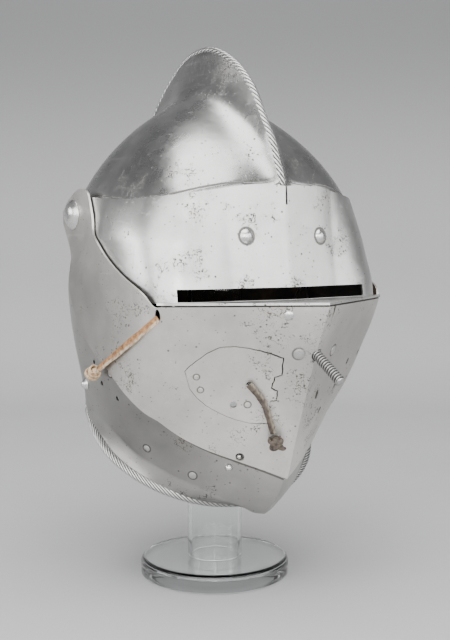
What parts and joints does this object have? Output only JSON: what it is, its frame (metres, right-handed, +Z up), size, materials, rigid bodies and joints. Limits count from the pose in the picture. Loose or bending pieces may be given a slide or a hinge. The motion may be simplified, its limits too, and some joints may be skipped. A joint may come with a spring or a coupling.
{
  "type": "close helmet on display stand",
  "caption": "Steel close helmet with a tall roped comb, sighted visor, pointed upper bevor with trapdoor, lower bevor and roped collar, on a clear disc and post stand.",
  "frame": {"origin": "centre of the stand's underside", "axes": "+Z up, the helmet looks along -Y, +X is the wearer's left"},
  "size_m": [0.2314, 0.2948, 0.4305],
  "materials": {
    "steel": "worn satin steel with pits and scratches",
    "bright_steel": "rubbed bright steel",
    "leather": "stiff rough thong",
    "clear_acrylic": "clear polished"
  },
  "bodies": {
    "helmet": {"skull": "steel", "pivot_right": "bright_steel", "pivot_left": "bright_steel", "stand_base": "clear_acrylic", "stand_post": "clear_acrylic"},
    "lower_bevor": {"lower_bevor": "steel", "lower_rivet_cheek": "bright_steel", "lower_rivet_jaw": "bright_steel", "lower_rivet_throat": "bright_steel", "catch_button": "bright_steel", "catch_stud": "bright_steel", "side_stud_right": "bright_steel", "side_stud_left": "bright_steel"},
    "upper_bevor": {"upper_bevor": "steel", "attachment_screw": "bright_steel", "prow_rivet_right": "bright_steel", "prow_rivet_left": "bright_steel", "shelf_rivet": "bright_steel", "thong_cheek": "leather", "knot_cheek": "leather"},
    "visor": {"visor": "steel", "visor_rivet_right": "bright_steel", "visor_rivet_left": "bright_steel"},
    "trapdoor": {"trapdoor": "steel", "door_rivet_upper": "bright_steel", "door_rivet_lower": "bright_steel", "door_rivet_front": "bright_steel", "thong_door": "leather", "knot_door": "leather"}
  },
  "joints": [
    {"name": "lower_bevor_hinge", "type": "hinge", "parent": "helmet", "child": "lower_bevor", "pos_m": [0, 0.05, 0.296], "axis": [-1, 0, 0], "range_deg": [0, 40]},
    {"name": "upper_bevor_hinge", "type": "hinge", "parent": "lower_bevor", "child": "upper_bevor", "pos_m": [0, 0.05, 0.296], "axis": [-1, 0, 0], "range_deg": [0, 45]},
    {"name": "visor_hinge", "type": "hinge", "parent": "upper_bevor", "child": "visor", "pos_m": [0, 0.05, 0.296], "axis": [-1, 0, 0], "range_deg": [0, 45]},
    {"name": "trapdoor_hinge", "type": "hinge", "parent": "upper_bevor", "child": "trapdoor", "pos_m": [-0.07606, -0.08063, 0.17525], "axis": [0.3855, 0.1355, -0.9127], "range_deg": [0, 100]}
  ]
}
